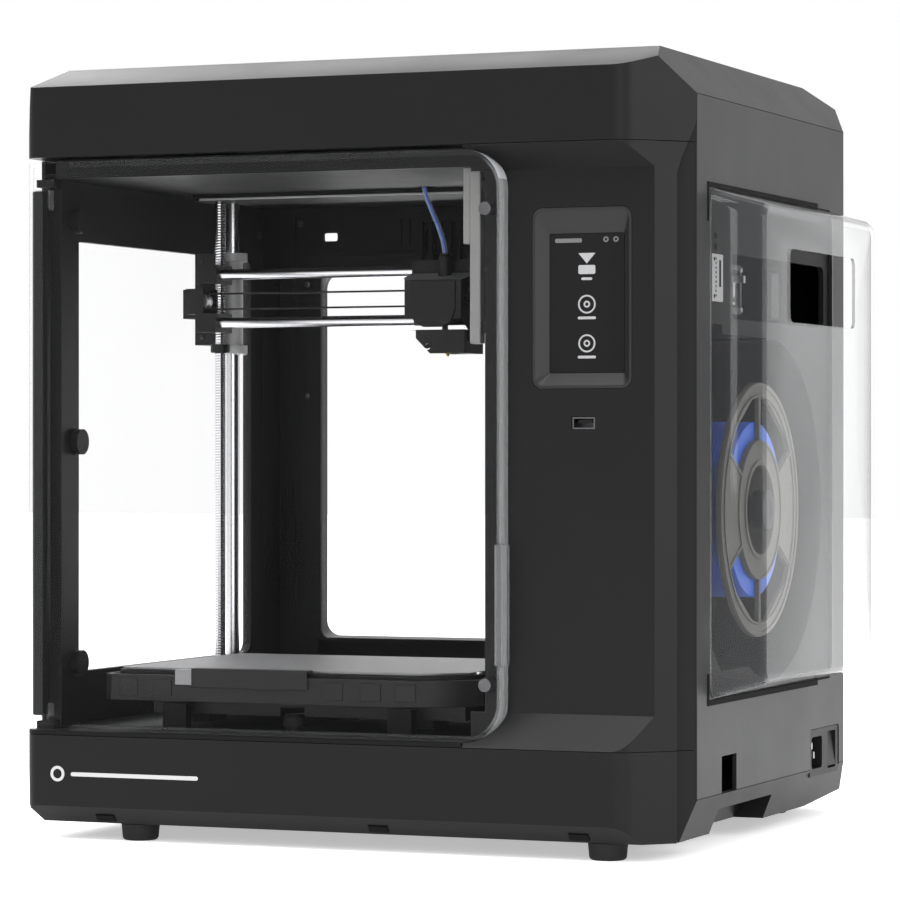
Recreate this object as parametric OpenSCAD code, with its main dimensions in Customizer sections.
// Enclosed desktop filament printer: gantry that rises on two screws, bed that runs front to back,
// clear front door, and a filament spool in a bay behind a clear cover on the right side.
// Origin at the middle of the footprint, on the surface that the feet stand on. +Y is the rear.

/* [Body] */
// Width of the body without the spool cover
body_w = 482; // [480:1:486]
// Depth of the body
body_d = 440; // [438:1:444]
// Height of the body with its feet
body_h = 540; // [540:1:546]
// Thickness of the moulded shells
wall = 3; // [2.5:0.5:3]

/* [Spool bay] */
// How far the clear spool cover stands out of the side
cover_out = 36; // [32:1:38]
// Diameter of the filament spool
spool_d = 178; // [160:1:184]
// Width of the filament spool
spool_w = 60; // [50:1:62]

/* [Motion] */
// Diameter of the smooth rods
rod_d = 8; // [8:1:10]
// Diameter of the smooth upright rods
lift_rod_d = 10; // [8:1:10]
// Diameter of the lead screws
screw_d = 8; // [8:1:9]
// Side of the square motors
motor_w = 42; // [40:1:42]

/* [Bed] */
// Width of the print bed carrier
bed_w = 276; // [270:1:277]
// Depth of the print bed carrier
bed_len = 214; // [205:1:214]

/* [Hidden] */

gap = 0.4;
xl = -(body_w + cover_out) / 2;
xr = xl + body_w;
yf = -body_d / 2;
yb = body_d / 2;
floor_z = 12;
base_top = 73;
head_low = 475;
deck_top = 76;
ceiling_z = 462;
recess_y = yf + 17;
corner_cut = 39;
side_low = 40;
side_high = body_h - 33;
side_front = yf + corner_cut;
side_rear = yb - 61;
door_right = 98;
column_x = 81;
chamber_left = xl + 7;
rear_in = yb - 42;

screw_x = [-217, 74];
screw_y = 8;
rod_y = 30;
gantry_y = 20;
rod_z = [366, 402];
belt_z = 382;
gantry_rod_x = [screw_x[0] - 9, screw_x[1] - 2];
pulley_x = [screw_x[0] - 9, screw_x[1] - 15];
head_x = -28;
nozzle_z = 339;
bed_x = -72;
bed_front = yf + 22;
bed_top = 119.5;
bed_rod_z = 89;
bed_rod_x = [bed_x - 85, bed_x + 85];
spool_y = -20;
spool_z = 229.5;
spool_face = xr - 8;
bay_y = [-150, 131];
bay_z = [104, 447];
pocket_r = 119;
pocket_front = [[-146, 143], [-121, 122], [-20, 122], [-20, 349.5], [-119, 349.5], [-119, 356],
    [-140, 356], [-140, 349.5], [-146, 349.5]];
cover_y = [-156, 130];
cover_z = [105, 446];
door_axis = [xl + 7.5, yf + 17];
back_screw_x = [-200, 165];
base_screw_x = [-215, 195];
screen_x = [115, 185];
screen_z = [312, 432];
fan_hub = [head_x + 18, gantry_y - 40, 381];
lever_pivot = [-48.5, 375.5];
idler_axis = [-59.4, 383];

function unit(v) = v / norm(v);
function side_normal(a, b) = let(d = unit(b - a)) [d[1], -d[0]];
function inset(p, t) = let(n = len(p)) [for (i = [0:n - 1])
    let(n1 = side_normal(p[(i + n - 1) % n], p[i]), n2 = side_normal(p[i], p[(i + 1) % n]))
    p[i] - t * (n1 + n2) / (1 + n1 * n2)];
function arc(c, r, a0, a1, n = 6) = [for (i = [0:n])
    let(a = a0 + (a1 - a0) * i / n) c + r * [cos(a), sin(a)]];

// Outline of the body seen from above, anticlockwise
blend_r = 22;
blend_t = blend_r * tan(22.5);
plan = concat(
    arc([xl + 10, yf + 10], 10, 180, 270),
    arc([xr - corner_cut - blend_t, yf + blend_r], blend_r, -90, -45),
    [[xr, side_front], [xr, side_rear], [xr - 18.4, yb - 21.6], [xr - 45, yb],
     [xl + 33, yb], [xl + 18.4, yb - 21.6], [xl, side_rear]]);
// Outline seen from the right: y, z
side_view = [[yf + 10, floor_z], [yf + 315, floor_z], [yb, 21], [yb, body_h - 18],
    [yb - 72, body_h], [yf + 46, body_h], [yf, body_h - 16], [yf, floor_z + 11.5]];
// Outline seen from the front: x, z
front_view = [[xl + 11, floor_z], [xr - 11, floor_z], [xr, side_low], [xr, side_high],
    [xr - 28.4, body_h], [xl + 11.6, body_h], [xl + 4, body_h - 16], [xl, head_low], [xl, base_top],
    [xl + 3, floor_z + 11.5]];

module box(a, b) translate(a) cube(b - a);
module along_x(x0, x1, pts) translate([x0, 0, 0]) rotate([90, 0, 90]) linear_extrude(x1 - x0) polygon(pts);
module along_y(y0, y1, pts) translate([0, y1, 0]) rotate([90, 0, 0]) linear_extrude(y1 - y0) polygon(pts);
module rod_x(x0, x1, d) translate([x0, 0, 0]) rotate([0, 90, 0]) cylinder(h = x1 - x0, d = d, $fn = 48);
module rod_yy(y0, y1, d) translate([0, y0, 0]) rotate([-90, 0, 0]) cylinder(h = y1 - y0, d = d, $fn = 48);
module rod_zz(z0, z1, d) translate([0, 0, z0]) cylinder(h = z1 - z0, d = d, $fn = 48);
// Rectangle with round corners, in the plane of its extrusion
module rounded(a, b, r) {
    translate([a[0] + r, a[1]]) square([b[0] - a[0] - 2 * r, b[1] - a[1]]);
    translate([a[0], a[1] + r]) square([b[0] - a[0], b[1] - a[1] - 2 * r]);
    for (x = [a[0] + r, b[0] - r], y = [a[1] + r, b[1] - r]) translate([x, y]) circle(r, $fn = 48);
}
module plate_yz(x0, x1, a, b, r)
    translate([x0, 0, 0]) rotate([90, 0, 90]) linear_extrude(x1 - x0) rounded(a, b, r);
module plate_xz(y0, y1, a, b, r)
    translate([0, y1, 0]) rotate([90, 0, 0]) linear_extrude(y1 - y0) rounded(a, b, r);

// Solid of the whole body, set in by t on every side
module form(t) intersection() {
    linear_extrude(body_h + 1) polygon(inset(plan, t));
    along_x(xl - 1, xr + 1, inset(side_view, t));
    along_y(yf - 1, yb + 1, inset(front_view, t));
}
module skin() difference() { form(0); form(wall); }
module side_panel_space()
    box([xr - wall - 0.1, side_front - 0.2, side_low - 0.2], [xr + 1, side_rear + 0.2, side_high + 0.2]);
// Groove that sets the side panel off from the front corner
module corner_groove() hull() {
    for (p = [[xr - 10.3, side_front - 10.3, head_low - 21], [xr - 12, side_front - 5.5, head_low - 18],
              [xr + 0.2, side_front + 0.3, body_h - 51]])
        for (z = [0, p[2]]) translate([p[0], p[1], z]) cube([0.05, 0.05, 0.05]);
    translate([xr + 0.2, side_front - 12, 0]) cube([0.05, 0.05, head_low + 4]);
}

// Thick stretch of the corner wall, behind the groove
module corner_backing(z0, z1) intersection() {
    form(0);
    translate([0, 0, z0]) linear_extrude(z1 - z0) polygon([
        [xr - 24, side_front - 24], [xr - 0.3, side_front - 0.3],
        [xr - 12, side_front - 0.3], [xr - 31, side_front - 19]]);
}

module base_tray() color([0.16, 0.16, 0.165]) difference() {
    union() {
        intersection() { skin(); box([xl - 1, yf - 1, 0], [xr + 1, yb + 1, base_top - gap]); }
        corner_backing(floor_z + 1, base_top - gap);
        intersection() { form(0.01); hand_grip(3); }
    }
    side_panel_space();
    corner_groove();
    for (y = [-60, -45, -30, -15, 0, 15]) box([-150, y, 0], [-40, y + 5, floor_z + 5]);
    for (x = base_screw_x, y = [-190, 190]) translate([x, y, 0]) cylinder(h = 30, d = 6.2, $fn = 32);
    plate_yz(xr - 26, xr + 1, [75, 34], [147, 69], 3);
    hand_grip(0);
}
// Hollow under the right side for the fingers, grown by t
module hand_grip(t) along_y(-123 - t, -4 + t,
    [[xr - 40 - t, 0], [xr + 1, 0], [xr + 1, 29 + t], [xr - 22 - t, 29 + t]]);
module base_deck() color([0.12, 0.12, 0.125]) difference() {
    union() {
        intersection() {
            form(wall + 0.4);
            box([xl, yf, base_top - gap + 0.2], [column_x - gap, rear_in + 38, deck_top]);
        }
        intersection() {
            form(0);
            box([xl - 1, yf - 1, base_top], [door_right, recess_y + 4, deck_top]);
        }
        for (x = bed_rod_x, y = [bed_front + 8, rear_in + 22])
            box([x - 9, y, deck_top - 0.5], [x + 9, y + 9, bed_rod_z + 6]);
        translate([bed_x, bed_front + 22, 0]) rod_zz(deck_top - 0.5, 89, 12);
    }
    box([door_right - 27.4, yf - 1, base_top - 5], [door_right + 1, recess_y - 0.2, deck_top + 1]);
    box([column_x - 0.2, recess_y - 0.3, base_top - 5], [door_right + 1, recess_y + 5, deck_top + 1]);
    for (x = bed_rod_x) translate([x, 0, bed_rod_z]) rod_yy(bed_front + 10, rear_in + 29, rod_d + 0.06);
    for (x = screw_x) translate([x, screw_y, 60]) cylinder(h = 30, d = 15, $fn = 48);
    translate([bed_x, rear_in + 5, 60]) cylinder(h = 30, d = 20, $fn = 48);
    for (x = screw_x) translate([x, rod_y, 60]) cylinder(h = 30, d = lift_rod_d + 0.06, $fn = 48);
}
module top_cover() color([0.16, 0.16, 0.165]) difference() {
    union() {
        intersection() { skin(); box([xl - 1, yf - 1, head_low], [xr + 1, yb + 1, body_h + 1]); }
        corner_backing(head_low, body_h - 30);
        difference() {
            intersection() { form(1); box([xl, yf, head_low + 0.05], [xr, yb, head_low + wall]); }
            box([chamber_left + 8, recess_y + 6, 0], [xr - 14, yb - 14, body_h]);
        }
    }
    side_panel_space();
    corner_groove();
}
// Column beside the door, with the lintel over the chamber's mouth
module front_panel() color([0.15, 0.15, 0.155]) difference() {
    union() {
        box([column_x, recess_y, base_top + 8], [xr - corner_cut + 17, recess_y + wall, head_low - 8]);
        intersection() {
            form(0);
            translate([0, 0, base_top]) linear_extrude(head_low - gap - base_top - 0.1) polygon([
                [xr - 21.7, recess_y], [xr - 0.01, side_front - 0.3], [xr - 12, side_front - 0.3],
                [xr - 28, recess_y + wall], [xr - 28, recess_y]]);
        }
        intersection() {
            form(0);
            union() {
                along_x(door_right - 27, xr, [[yf, base_top], [recess_y + wall, base_top],
                    [recess_y + wall, base_top + 23], [recess_y, base_top + 23]]);
                along_x(door_right - 27, xr, [[yf, head_low - gap], [recess_y + wall, head_low - gap],
                    [recess_y + wall, head_low - 17], [recess_y, head_low - 17]]);
            }
        }
        box([chamber_left + 9, recess_y, ceiling_z - 1],
            [column_x + 1, recess_y + wall, head_low - gap - 0.2]);
    }
    corner_groove();
    door_block(yf - 1, recess_y - 0.5, -gap);
    box([door_right - 28, recess_y - 0.6, base_top - 1], [column_x, recess_y + wall + 1, deck_top + 0.2]);
    plate_xz(yf, yb, [screen_x[0] - 0.3, screen_z[0] - 0.3], [screen_x[1] + 0.3, screen_z[1] + 0.3], 7.3);
    box([142.7, yf, 284.5], [159.3, yb, 293.5]);
}
module hinge_post() color([0.13, 0.13, 0.135]) difference() {
    union() {
        box([xl + 17, recess_y + 1, deck_top + 0.2], [xl + 20, yf + 44, ceiling_z - 1.4]);
        box([xl + 11, recess_y + 1, deck_top + 0.2], [xl + 20, recess_y + 4, ceiling_z - 1.4]);
        for (z = [121, 277, 433]) translate([xl + 13.5, yf + 40, z]) rod_x(0, 12, 18);
        for (z = [deck_top + 0.2, ceiling_z - 7])
            box([xl + 4, recess_y - 6, z], [xl + 18, recess_y + 6, z + 5.4]);
    }
    translate([door_axis[0], door_axis[1], 0]) cylinder(h = body_h, d = 4.1, $fn = 48);
}
module left_side_panel() color([0.13, 0.13, 0.135]) difference() {
    union() {
        box([xl, yf + 26, base_top], [xl + wall, side_rear - 0.3, head_low - gap]);
        box([xl + wall - 0.1, yf + 45, deck_top + 0.2], [xl + 7, side_rear - 0.5, ceiling_z - 0.4]);
    }
    plate_yz(xl - 1, xl + 8, [yf + 62, 113], [136, 420], 10);
}
module left_window() color([0.9, 0.93, 0.95, 0.2])
    plate_yz(xl + 2.2, xl + 4.4, [yf + 62.3, 113.3], [135.7, 419.7], 9.7);

module right_side_panel() color([0.22, 0.22, 0.225]) difference() {
    box([xr - wall, side_front + 0.3, side_low + 0.2], [xr, side_rear - 0.2, side_high - 0.2]);
    plate_yz(xr - 4, xr + 1, [bay_y[0], bay_z[0]], [bay_y[1], bay_z[1]], 10);
    box([xr - 4, -129, 37], [xr + 1, -97, 65]);
    plate_yz(xr - 4, xr + 1, [75, 34], [147, 69], 3);
}

module rear_panel() color([0.14, 0.14, 0.145]) {
    difference() {
        intersection() { skin(); box([xl - 1, side_rear, base_top], [xr + 1, yb + 1, head_low - gap]); }
        plate_xz(yb - 10, yb + 1, [-224, 123], [44, 412], 12);
        plate_xz(yb - 30, yb + 1, [-234, 431], [-208, 449], 4);
        for (z = [314, 402]) translate([-235.5, yb - 60, z]) rod_yy(0, 70, 10);
        for (z = [150:12:300]) plate_xz(yb - 10, yb + 1, [100, z], [180, z + 5], 2.4);
        for (x = back_screw_x, z = [90, 455]) translate([x, yb - 5, z]) rod_yy(0, 6, 5.04);
    }
    difference() {
        plate_xz(rear_in + 3.4, yb - wall - 0.01, [-226.4, 120.6], [46.4, 414.4], 14.4);
        plate_xz(rear_in, yb, [-224, 123], [44, 412], 12);
    }
}
module chamber_rear_wall() color([0.11, 0.11, 0.115]) difference() {
    intersection() {
        form(wall + 0.4);
        box([chamber_left, rear_in, deck_top + 0.2], [column_x - gap, rear_in + wall, ceiling_z - 0.4]);
    }
    plate_xz(rear_in - 1, yb, [-211, 122.4], [37, 411.5], 8);
    box([bed_x - bed_w / 2 - 4, rear_in - 1, deck_top], [bed_x + bed_w / 2 + 3, yb, bed_top + 3]);
    plate_xz(rear_in - 1, yb, [-208.5, 436], [-196.5, 442.5], 1.5);
    for (z = [314, 402]) translate([-222.5, rear_in - 1, z]) rod_yy(0, 5, 4);
    for (x = [-100, -58]) translate([x, rear_in - 1, 434]) rod_yy(0, 5, 38);
}
module rear_window() color([0.9, 0.93, 0.95, 0.2])
    plate_xz(yb - 8, yb - 5.8, [-223.7, 123.3], [43.7, 411.7], 11.7);
module chamber_ceiling() color([0.10, 0.10, 0.105]) difference() {
    union() {
        intersection() {
            form(wall + 0.4);
            box([chamber_left, recess_y + wall + 0.2, ceiling_z],
                [column_x - gap, rear_in + wall, ceiling_z + 3]);
        }
        // beam that carries the upper ends of the rods and screws
        box([-232, -8, ceiling_z - 5], [column_x - gap, 48, ceiling_z + 0.01]);
    }
    for (x = screw_x) translate([x, rod_y, 400]) cylinder(h = 100, d = lift_rod_d + 0.06, $fn = 48);
    for (x = screw_x) translate([x, screw_y, 400]) cylinder(h = 100, d = screw_d + 0.14, $fn = 48);
    translate([-38, gantry_y - 38, 440]) cylinder(h = 60, d = 14, $fn = 32);
}
module column_wall() color([0.11, 0.11, 0.115])
    box([column_x, recess_y + wall + 0.2, deck_top + 0.2], [column_x + wall, rear_in + wall, head_low - 9]);

module spool_bay() color([0.10, 0.10, 0.105]) difference() {
    union() {
        plate_yz(xr - 7, xr - wall - 0.05, [bay_y[0] - 4, bay_z[0] - 4], [bay_y[1] + 4, bay_z[1] + 4], 14);
        translate([xr - 78, spool_y + 12, spool_z]) rod_x(0, 72, 2 * pocket_r + 5);
        along_x(xr - 78, xr - 6, inset(pocket_front, -2.5));
    }
    intersection() {
        translate([xr - 75, spool_y + 12, spool_z]) rod_x(0, 80, 2 * pocket_r);
        box([xr - 80, bay_y[0] - 1, bay_z[0]], [xr + 1, yb, bay_z[1] - 94]);
    }
    along_x(xr - 75, xr + 1, pocket_front);
    // recess for the feeder, its finger bay and the fixing holes of the spindle
    plate_yz(xr - 90, xr, [-97, 360.5], [118, 405], 6);
    for (z = [408, 415]) translate([xr - 10, -133, z]) rod_x(0, 10, 5);
    translate([xr - 90, spool_y, spool_z]) rod_x(0, 30, 20.06);
}
module spool_spindle() color([0.12, 0.12, 0.125]) translate([0, spool_y, spool_z]) difference() {
    union() {
        translate([xr - 84, 0, 0]) rod_x(0, spool_w + 22, 20);
        translate([xr - 84, 0, 0]) rod_x(0, 5.8, 60);
        translate([xr - 74.8, 0, 0]) rod_x(0, 4, 40);
    }
    translate([xr - 90, 0, 0]) rod_x(0, spool_w + 22, 12);
}
module filament_feeder() color([0.2, 0.2, 0.205]) difference() {
    union() {
        difference() {
            box([xr - 56, -95, 365.5], [xr - 16, -36, 399.5]);
            box([xr - 34, -86, 370], [xr - 15, -40, 396]);
        }
        translate([xr - 40, -66, 399]) rod_zz(0, 12, 12);
        translate([xr - 35, lever_pivot[0], lever_pivot[1]]) rod_x(0, 18, 4);
    }
    translate([xr - 40, -66, 360]) rod_zz(0, 60, 4.2);
    translate([xr - 60, -74, 383]) rod_x(0, 60, 6);
}
module feeder_motor() color([0.2, 0.2, 0.205]) difference() {
    union() {
        box([xr - 84, -95, 362], [xr - 56.2, -53, 404]);
        translate([xr - 57, -74, 383]) rod_x(0, 28, 5);
    }
    for (y = [-89.5, -58.5], z = [367.5, 398.5]) translate([xr - 60, y, z]) rod_x(0, 5, 3);
}
module drive_gear() color([0.7, 0.6, 0.3]) translate([xr - 32, -74, 383]) difference() {
    union() {
        rod_x(0, 10, 12);
        for (a = [0:30:330]) rotate([a, 0, 0]) translate([2, 0, 5.6]) cube([6, 1.4, 2]);
    }
    translate([-1, 0, 0]) rod_x(0, 12, 5.06);
}
module idler_lever() color([0.35, 0.35, 0.36]) difference() {
    union() {
        box([xr - 20.5, -63, 372], [xr - 17.5, -46, 388]);
        translate([xr - 32, idler_axis[0], idler_axis[1]]) rod_x(0, 12, 4.9);
        box([xr - 20.5, -50, 387], [xr - 10, -46, 392]);
    }
    translate([xr - 36, lever_pivot[0], lever_pivot[1]]) rod_x(0, 30, 4.08);
}
module idler_bearing() color([0.75, 0.75, 0.76])
    translate([xr - 31, idler_axis[0], idler_axis[1]]) difference() {
    rod_x(0, 9, 13);
    translate([-1, 0, 0]) rod_x(0, 11, 5);
}

module screen_bezel() color([0.15, 0.15, 0.155]) difference() {
    plate_xz(recess_y, recess_y + 9, [screen_x[0], screen_z[0]], [screen_x[1], screen_z[1]], 7);
    hull() {
        plate_xz(recess_y - 1, recess_y - 0.9,
            [screen_x[0] + 1, screen_z[0] + 1], [screen_x[1] - 1, screen_z[1] - 1], 6);
        plate_xz(recess_y + 7, recess_y + 7.1, [124.5, 322.2], [177.5, 415.2], 1);
    }
    plate_xz(recess_y, yb, [124.5, 322.2], [177.5, 415.2], 1);
}
module touch_screen() color([0.05, 0.05, 0.055]) {
    plate_xz(recess_y + 9.05, recess_y + 14, [118, 316], [182, 428], 2);
    box([124.8, recess_y + 7.2, 322.5], [177.2, recess_y + 9.1, 414.9]);
}
module usb_port() color([0.6, 0.6, 0.62]) difference() {
    box([143, recess_y + 1, 285], [159, recess_y + 18, 293]);
    box([144, recess_y, 286], [158, recess_y + 14, 292]);
}
module power_inlet() color([0.04, 0.04, 0.045]) difference() {
    plate_yz(xr - 22, xr - 0.6, [75.4, 34.4], [146.6, 68.6], 2.6);
    plate_yz(xr - 17, xr + 1, [80, 40], [106, 63], 3);
    plate_yz(xr - 17, xr + 1, [120, 38], [140, 65], 1.5);
    translate([xr - 6, 130, 51.5]) rod_yy(-11.3, 11.3, 3.08);
}
module power_switch() color([0.03, 0.03, 0.03]) translate([xr - 6, 130, 51.5]) {
    rotate([0, -7, 0]) box([-2, -9.4, -12.4], [4, 9.4, 12.4]);
    rod_yy(-11, 11, 3);
}
module rubber_feet() color([0.02, 0.02, 0.02])
    for (x = [-180, 166], y = [yf + 24, yb - 60]) translate([x, y, 0]) rotate_extrude($fn = 48)
        polygon([[0, 0], [11, 0], [12.5, 1.5], [13.5, floor_z - 0.1], [0, floor_z - 0.1]]);
module shell_screws() color([0.3, 0.3, 0.31]) {
    for (x = base_screw_x, y = [-190, 190]) translate([x, y, floor_z + 1]) rod_zz(0, 12, 6.1);
    for (x = back_screw_x, z = [90, 455]) translate([x, yb - 4, z]) rod_yy(0, 3.9, 5);
}
module power_supply() color([0.65, 0.66, 0.67]) difference() {
    box([96, -150, 17], [178, 60, 55]);
    for (y = [-140:10:50]) box([106, y, 50], [168, y + 4, 56]);
}
module main_board() color([0.05, 0.25, 0.12]) {
    box([100, 70, 26], [190, 180, 28]);
    for (y = [80, 105, 130]) box([110, y, 27.9], [125, y + 12, 40]);
    box([140, 90, 27.9], [172, 125, 32]);
    for (y = [78:16:160]) box([178, y, 27.9], [188, y + 11, 38]);
}
module z_motors() color([0.1, 0.1, 0.105]) for (x = screw_x)
    box([x - motor_w / 2, screw_y - motor_w / 2, 24], [x + motor_w / 2, screw_y + motor_w / 2, 66]);
module z_rods() color([0.8, 0.8, 0.81]) for (x = screw_x)
    translate([x, rod_y, 0]) rod_zz(deck_top - 8, ceiling_z + 1, lift_rod_d);
module lead_screw(x) color([0.6, 0.6, 0.61]) translate([x, screw_y, 0]) {
    rod_zz(66.3, ceiling_z + 1, screw_d);
    rod_zz(68, 75, 13.5);
}
module z_screw_left() lead_screw(screw_x[0]);
module z_screw_right() lead_screw(screw_x[1]);
module bed_rods() color([0.8, 0.8, 0.81]) for (x = bed_rod_x)
    translate([x, 0, bed_rod_z]) rod_yy(bed_front + 10, rear_in + 29, rod_d);
module bed_motor() color([0.1, 0.1, 0.105]) {
    box([bed_x - 21, rear_in - 16, 24], [bed_x + 21, rear_in + 26, 66]);
    translate([bed_x, rear_in + 5, 0]) rod_zz(65, 92, 5);
}
module bed_pulley() color([0.7, 0.7, 0.71]) translate([bed_x, rear_in + 5, 0]) difference() {
    union() {
        rod_zz(78, 90, 12.2);
        rod_zz(77, 78.2, 15.4);
        rod_zz(89.8, 91, 15.4);
    }
    rod_zz(70, 100, 5.06);
}
// Toothed belt round two pulleys of radius r, as a flat loop that lies in a plane
module belt_loop(len, r, h) linear_extrude(h) difference() {
    belt_area(len, r + 1.2);
    belt_area(len, r);
}
module belt_area(len, r) {
    translate([0, -r]) square([len, 2 * r]);
    for (x = [0, len]) translate([x, 0]) circle(r, $fn = 48);
}
module bed_belt() color([0.05, 0.05, 0.05])
    translate([bed_x, bed_front + 22, 80.5]) rotate([0, 0, 90])
        belt_loop(rear_in + 5 - bed_front - 22, 6.4, 6);
module exhaust_filter() color([0.13, 0.13, 0.135]) {
    difference() {
        box([-125, rear_in - 14, 414], [-33, rear_in - 0.4, 454]);
        for (x = [-100, -58]) translate([x, rear_in - 12, 434]) rod_yy(0, 20, 37);
        for (x = [-118:8:-40]) box([x, rear_in - 15, 419], [x + 5, rear_in - 10, 449]);
    }
    box([-59.5, rear_in - 1.6, 415], [-56.5, rear_in - 0.4, 453]);
    translate([-58, rear_in - 9, 434]) rod_yy(0, 8, 3);
}
module exhaust_rotor() color([0.06, 0.06, 0.06]) translate([-58, rear_in - 5, 434]) {
    difference() {
        rod_yy(-5, 3, 14);
        rod_yy(-6, 4, 3.08);
    }
    for (a = [0:60:300]) rotate([0, a, 0]) translate([6, -3, -1]) cube([11, 5, 2]);
}
module light_bar() color([0.9, 0.9, 0.88]) {
    box([60, recess_y + 8, 342.6], [74.5, recess_y + 17, ceiling_z - 0.2]);
    for (z = [350, 445]) box([74, recess_y + 10, z], [column_x, recess_y + 15, z + 8]);
}

// Holes that a carriage at x has for its upright rod, its screw and the gantry's rods
module carriage_holes(x) {
    translate([x, rod_y, 0]) rod_zz(300, 440, lift_rod_d + 0.1);
    translate([x, screw_y, 0]) rod_zz(300, 440, screw_d + 0.1);
    for (z = rod_z) translate([0, gantry_y - 24, z]) rod_x(gantry_rod_x[0], gantry_rod_x[1], rod_d);
}
module left_carriage() color([0.09, 0.09, 0.095]) difference() {
    union() {
        box([screw_x[0] - 22, 10, 350], [screw_x[0] - 5, 46, 419]);
        box([screw_x[0] - 33, 12, 370], [screw_x[0] - 21.9, 32, 392]);
        for (z = rod_z) box([screw_x[0] - 11, -12, z - 7], [screw_x[0] + 6, 16, z + 7]);
        box([screw_x[0] - 19, -12, 372.5], [screw_x[0] - 5, 10.1, 391.5]);
        translate([screw_x[0], rod_y, 0]) {
            rod_zz(344, 419.5, 15);
            rod_zz(344, 350, 22);
            rod_zz(413, 419.5, 22);
        }
    }
    carriage_holes(screw_x[0]);
    difference() {
        box([screw_x[0] - 17, -9.5, 374], [screw_x[0] + 8, 8.6, 390.1]);
        translate([pulley_x[0], -10, belt_z]) rod_yy(0, 20, 5);
    }
}
module right_carriage() color([0.09, 0.09, 0.095]) difference() {
    union() {
        box([screw_x[1] - 22, gantry_y - 30, 350], [screw_x[1] + 6, gantry_y + 26, 419]);
        translate([screw_x[1], rod_y, 0]) rod_zz(344, 419.5, 13.6);
    }
    carriage_holes(screw_x[1]);
    box([screw_x[1] - 23, gantry_y - 31, 372.5], [screw_x[1] - 6, gantry_y - 15, 391.5]);
    translate([pulley_x[1], gantry_y - 30, belt_z]) rod_yy(0, 60, 5.4);
}
module gantry_rods() color([0.85, 0.85, 0.86]) for (z = rod_z)
    translate([0, gantry_y - 24, z]) rod_x(gantry_rod_x[0], gantry_rod_x[1], rod_d);
module gantry_motor() color([0.1, 0.1, 0.105]) {
    box([screw_x[1] - 36, gantry_y + 26.2, 361], [screw_x[1] + 6, gantry_y + 54, 403]);
    translate([pulley_x[1], gantry_y - 28, belt_z]) rod_yy(0, 54.5, 5);
}
module pulley() difference() {
    union() {
        rod_yy(0, 7, 9.8);
        rod_yy(-0.8, 0.1, 13);
        rod_yy(6.9, 7.7, 13);
    }
    rod_yy(-2, 9, 5.06);
}
module gantry_pulley() color([0.7, 0.7, 0.71])
    translate([pulley_x[1], gantry_y - 27, belt_z]) pulley();
module gantry_idler() color([0.7, 0.7, 0.71])
    translate([pulley_x[0], gantry_y - 27, belt_z]) pulley();
module gantry_belt() color([0.05, 0.05, 0.05])
    translate([pulley_x[0], gantry_y - 20.5, belt_z]) rotate([90, 0, 0])
        belt_loop(pulley_x[1] - pulley_x[0], 5.1, 6);

module print_head() color([0.1, 0.1, 0.105]) translate([head_x, gantry_y, 0]) difference() {
    union() {
        hull() {
            box([-22, -52, 366], [22, -51.9, 394]);
            box([-25, -46, 358], [25, -45.9, 396]);
            box([-25, -10, 358], [25, -9.9, 405]);
        }
        box([-25, -31, 380], [25, -10, 409.4]);
        box([-14, -50, 341], [24, -14, 358.1]);
        translate([4, -38, 396]) rod_zz(0, 14, 10);
    }
    for (z = rod_z) translate([-30, -24, z]) rod_x(0, 60, rod_d + 0.12);
    box([-30, -29, 373.5], [30, -18.5, 390.5]);
    translate([16, -40, 381]) fan_pocket();
    translate([4, -38, 350]) rod_zz(0, 80, 4.4);
    box([-8, -45, 330], [16, -20, 352]);
    translate([-5, -60, 346]) rod_yy(0, 60, 5);
}
module fan_pocket() difference() {
    rod_x(0, 12, 19);
    rod_x(-1, 6, 2);
}
module hot_end() color([0.75, 0.65, 0.35]) translate([head_x + 4, gantry_y - 33, 0]) {
    box([-10, -9, 344], [10, 9, 351.6]);
    translate([0, 0, nozzle_z]) cylinder(h = 5.1, r1 = 0.6, r2 = 4, $fn = 32);
}
module head_fan_rotor() color([0.05, 0.05, 0.05]) translate(fan_hub) {
    difference() {
        rod_x(0, 5, 7);
        rod_x(-1, 6, 2.08);
    }
    for (a = [0:60:300]) rotate([a, 0, 0]) translate([0.5, -0.7, 3]) cube([4, 1.4, 6]);
}

module bed_carrier() color([0.1, 0.1, 0.105]) difference() {
    union() {
        translate([0, 0, 97]) linear_extrude(18) bed_outline(0);
        box([bed_x - 108, bed_front + 22, 87], [bed_x + 128, bed_front + 194, 97.1]);
        for (x = bed_rod_x, y = [bed_front + 40, bed_front + bed_len - 60])
            box([x - 12, y, bed_rod_z - 9], [x + 12, y + 28, 97.1]);
        box([bed_x + 8.1, bed_front + 100, 79.5], [bed_x + 14, bed_front + 116, 97.1]);
    }
    translate([0, 0, 100]) linear_extrude(20) bed_outline(4);
    for (x = bed_rod_x) translate([x, 0, bed_rod_z]) rod_yy(yf, yb, rod_d + 0.1);
    for (x = bed_rod_x, y = [bed_front + 21, bed_front + 70, bed_front + bed_len - 30])
        box([x - 7, y, 80], [x + 7, y + (y > bed_front + 60 && y < 0 ? 82 : y < -150 ? 17 : 20), 94.5]);
    box([bed_x - 10, bed_front + 21, 80], [bed_x + 8.1, bed_front + 195, 93]);
}
module bed_outline(t) polygon(inset([
    [bed_x - bed_w / 2, bed_front + 8], [bed_x - bed_w / 2 + 8, bed_front],
    [bed_x + bed_w / 2 - 34, bed_front], [bed_x + bed_w / 2, bed_front + 30],
    [bed_x + bed_w / 2, bed_front + bed_len], [bed_x - bed_w / 2, bed_front + bed_len]], t));
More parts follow.
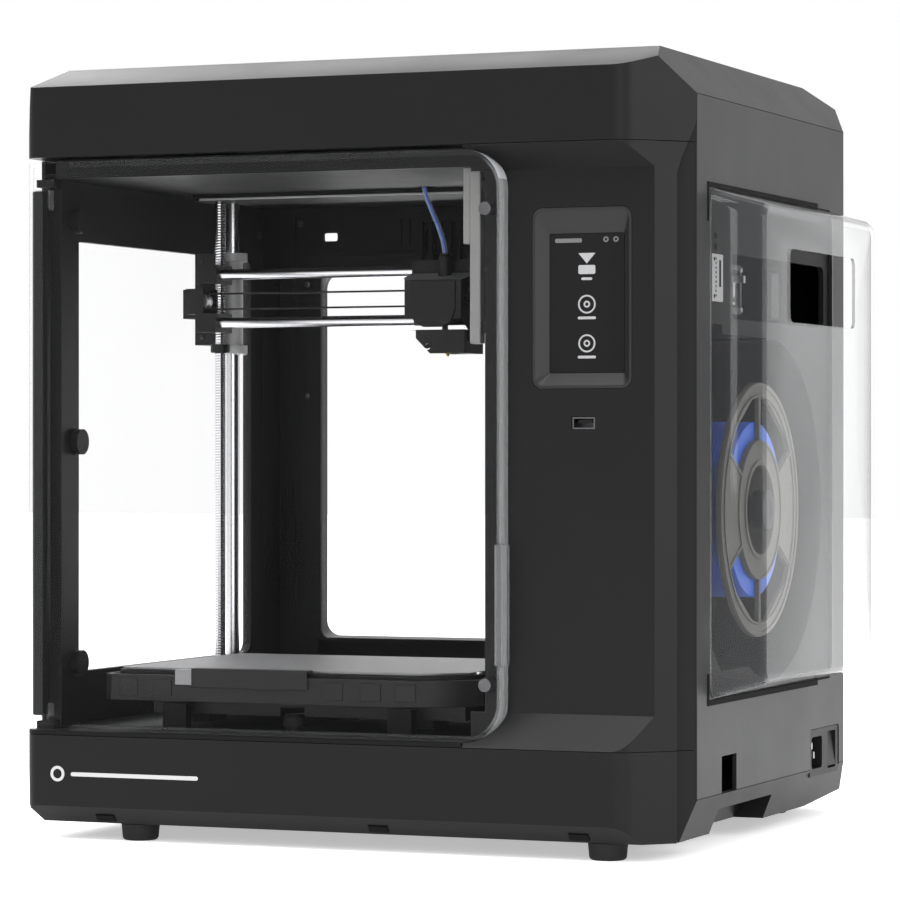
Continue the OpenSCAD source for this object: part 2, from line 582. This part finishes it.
module heated_bed() color([0.35, 0.35, 0.36]) {
    translate([0, 0, 115.2]) linear_extrude(2.6) bed_outline(9);
    for (x = [-105, 105], y = [bed_front + 50, bed_front + bed_len - 24])
        translate([bed_x + x, y, 0]) rod_zz(100, 115.3, 8);
}
module build_plate() color([0.45, 0.45, 0.46]) {
    translate([0, 0, 118]) linear_extrude(bed_top - 118) bed_outline(11);
    box([-152, bed_front - 1, 108.6], [-62, bed_front - 0.2, bed_top - 0.5]);
    box([-152, bed_front - 1, bed_top - 1.5], [-62, bed_front + 12, bed_top - 0.5]);
}

// Clear door: a shallow tray with its open side to the chamber
module door_panel() color([0.9, 0.93, 0.95, 0.25]) {
    door_tray();
    translate([door_axis[0], door_axis[1], 0]) {
        rod_zz(base_top + 12.2, base_top + 21, 6.2);
        rod_zz(base_top + 4.4, base_top + 13, 4);
        rod_zz(head_low - 34, head_low - 22.2, 6.2);
        rod_zz(head_low - 23, head_low - 15, 4);
    }
}
module door_tray() difference() {
    intersection() { form(0); door_block(yf, recess_y - 1, 0); }
    difference() {
        intersection() { form(wall); door_block(yf - 1, recess_y + 1, wall); }
        for (z = [base_top + 7, head_low - 36]) box([xl, recess_y - 9, z], [xl + 15, recess_y, z + 14]);
    }
    box([xl - 1, recess_y - 7, base_top], [xl + 30, recess_y, base_top + 12]);
    box([xl - 1, recess_y - 7, head_low - 22], [xl + 30, recess_y, head_low]);
    box([door_right - 3.5, yf - 1, 127.7], [door_right + 1, recess_y, 208.3]);
}
// Outline of the door, grown inwards by t
module door_block(y0, y1, t) translate([0, y1, 0]) rotate([90, 0, 0]) linear_extrude(y1 - y0) {
    translate([xl - 20, base_top + 3.5 + t])
        square([door_right - xl - 10 - t, head_low - base_top - 7 - 2 * t]);
    rounded([xl + 50, base_top + 3.5 + t], [door_right - t, head_low - 3.5 - t], 26 - t);
}
// Lip at the door's free edge, for the fingers
module door_handle() color([0.85, 0.9, 0.93, 0.4]) translate([door_right, yf, 128]) linear_extrude(80)
    polygon([[-3.3, 0.2], [1, 0.2], [5, 3.6], [5, 5.4], [0.6, 3.2], [0, 3.4], [0, 14], [-3.3, 14]]);
module door_magnets() color([0.08, 0.08, 0.085]) for (z = [114.6, 432])
    translate([86, yf + 3.2, z]) rod_yy(0, 12.5, 9);

module spool_cover() color([0.9, 0.93, 0.95, 0.3]) difference() {
    cover_solid(0, 0);
    cover_solid(2.2, -1);
    plate_yz(xr + 20, xr + cover_out + 1, [-90, 358], [66, 408], 6);
    box([xr - 1, cover_y[0] - 1, cover_z[0] - 1], [xr + 0.6, cover_y[1] + 1, cover_z[1] + 1]);
}
// Outer form of the cover: a tub with drafted walls and round corners
module cover_solid(t, back) hull() for (y = cover_y, z = cover_z) {
    sy = y == cover_y[0] ? 1 : -1;
    sz = z == cover_z[0] ? 1 : -1;
    translate([xr + back, y + sy * 12, z + sz * 12]) corner_disc(12 - t);
    translate([xr + cover_out - 5, y + sy * 21, z + sz * 21]) corner_disc(12 - t);
    translate([xr + cover_out - 1 - t, y + sy * 21, z + sz * 21]) corner_disc(8 - t);
}
module corner_disc(r) rotate([0, 90, 0]) cylinder(h = 1, r = r, $fn = 32);

module spool() color([0.5, 0.49, 0.47]) translate([0, spool_y, spool_z]) difference() {
    union() {
        for (x = [spool_face - 3, spool_face - spool_w]) translate([x, 0, 0]) rod_x(0, 3, spool_d);
        translate([spool_face - spool_w, 0, 0]) rod_x(0, spool_w, 76);
    }
    translate([spool_face - spool_w - 1, 0, 0]) rod_x(0, spool_w + 2, 62);
    // windows above and below the hub, two to each side of an upright spoke
    for (a = [30, 150, 210, 330]) rotate([a, 0, 0]) translate([spool_face - 5, 0, 0]) intersection() {
        translate([-spool_w, 0, 0]) difference() {
            rod_x(0, spool_w + 8, spool_d - 20);
            translate([-1, 0, 0]) rod_x(0, spool_w + 10, 98);
        }
        translate([-spool_w, 0, 0]) along_x(0, spool_w + 10, [[4, 8], [40, 75], [-40, 75], [-4, 8]]);
    }
}
module filament_winding() color([0.15, 0.35, 0.85]) translate([0, spool_y, spool_z]) difference() {
    translate([spool_face - spool_w + 3.3, 0, 0]) rod_x(0, spool_w - 6.6, spool_d - 55);
    translate([spool_face - spool_w, 0, 0]) rod_x(0, spool_w, 76.4);
}

// Filament tube from the feeder, over the chamber's ceiling and down to the print head
function bezier(a, b, c, d, u) =
    a * pow(1 - u, 3) + 3 * b * u * pow(1 - u, 2) + 3 * c * u * u * (1 - u) + d * pow(u, 3);
tube_parts = [
    [[xr - 40, -66, 411.4], [xr - 40, -66, 460], [170, -60, 492], [120, -48, 496]],
    [[120, -48, 496], [70, -36, 500], [-43, -20, 520], [-44, -18, 474]],
    [[-44, -18, 474], [-43, -18, 450], [-24, -18, 432], [-24, -18, 410.4]]];
tube_steps = 14;
tube_sides = 8;
tube_route = concat(
    [for (p = tube_parts, i = [0:tube_steps - 1]) bezier(p[0], p[1], p[2], p[3], i / tube_steps)],
    [tube_parts[2][3]]);
module filament_tube() color([0.2, 0.4, 0.85]) {
    last = len(tube_route) - 1;
    rings = [for (i = [0:last]) let(
        t = unit(tube_route[min(i + 1, last)] - tube_route[max(i - 1, 0)]),
        u = unit(cross(t, [0, 1, 0])), v = cross(t, u))
        for (k = [0:tube_sides - 1]) let(a = 360 * k / tube_sides)
            tube_route[i] + 2 * (cos(a) * u + sin(a) * v)];
    walls = [for (i = [0:last - 1], k = [0:tube_sides - 1]) let(n = tube_sides, m = (k + 1) % tube_sides)
        [i * n + k, (i + 1) * n + k, (i + 1) * n + m, i * n + m]];
    polyhedron(rings, concat(walls, [[for (k = [0:tube_sides - 1]) k]],
        [[for (k = [1:tube_sides]) (last + 1) * tube_sides - k]]), convexity = 4);
}

base_tray();
base_deck();
top_cover();
front_panel();
hinge_post();
left_side_panel();
left_window();
right_side_panel();
rear_panel();
chamber_rear_wall();
rear_window();
chamber_ceiling();
column_wall();
spool_bay();
spool_spindle();
filament_feeder();
feeder_motor();
drive_gear();
idler_lever();
idler_bearing();
screen_bezel();
touch_screen();
usb_port();
power_inlet();
power_switch();
rubber_feet();
shell_screws();
power_supply();
main_board();
z_motors();
z_rods();
z_screw_left();
z_screw_right();
bed_rods();
bed_motor();
bed_pulley();
bed_belt();
exhaust_filter();
exhaust_rotor();
light_bar();
left_carriage();
right_carriage();
gantry_rods();
gantry_motor();
gantry_pulley();
gantry_idler();
gantry_belt();
print_head();
hot_end();
head_fan_rotor();
bed_carrier();
heated_bed();
build_plate();
door_panel();
door_handle();
door_magnets();
spool_cover();
spool();
filament_winding();
filament_tube();
